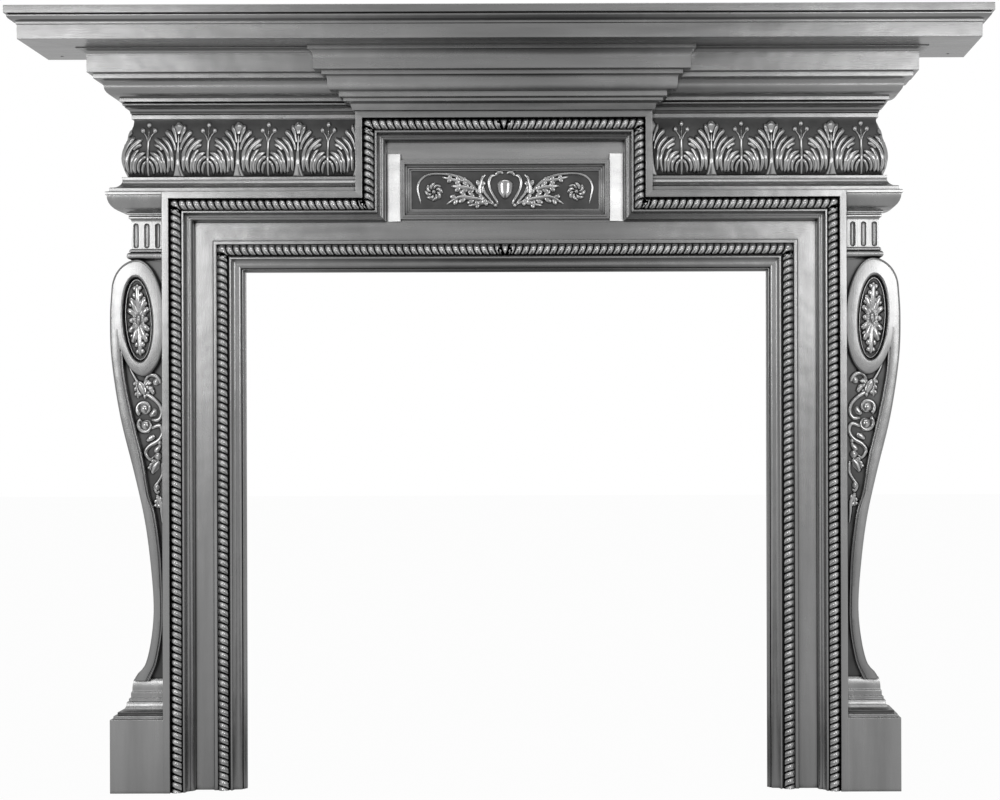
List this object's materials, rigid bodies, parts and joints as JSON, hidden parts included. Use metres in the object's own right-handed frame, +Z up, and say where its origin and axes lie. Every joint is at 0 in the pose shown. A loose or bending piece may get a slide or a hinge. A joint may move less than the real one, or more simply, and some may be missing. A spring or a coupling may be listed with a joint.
{
  "type": "fireplace mantel",
  "caption": "Polished cast-iron fireplace mantel with scrolled consoles, roped frame, leaf frieze, framed tablet and moulded shelf.",
  "frame": {"origin": "on the hearth, midway between the ends and midway between the wall face and the shelf's front edge", "axes": "+X to the right along the front, +Y towards the wall, +Z up"},
  "size_m": [1.6586, 0.215, 1.3414],
  "materials": {
    "polished_iron": "polished, darker in the hollows"
  },
  "bodies": {
    "root": {"shelf": "polished_iron", "lintel": "polished_iron", "left_jamb": "polished_iron", "right_jamb": "polished_iron"}
  },
  "joints": []
}
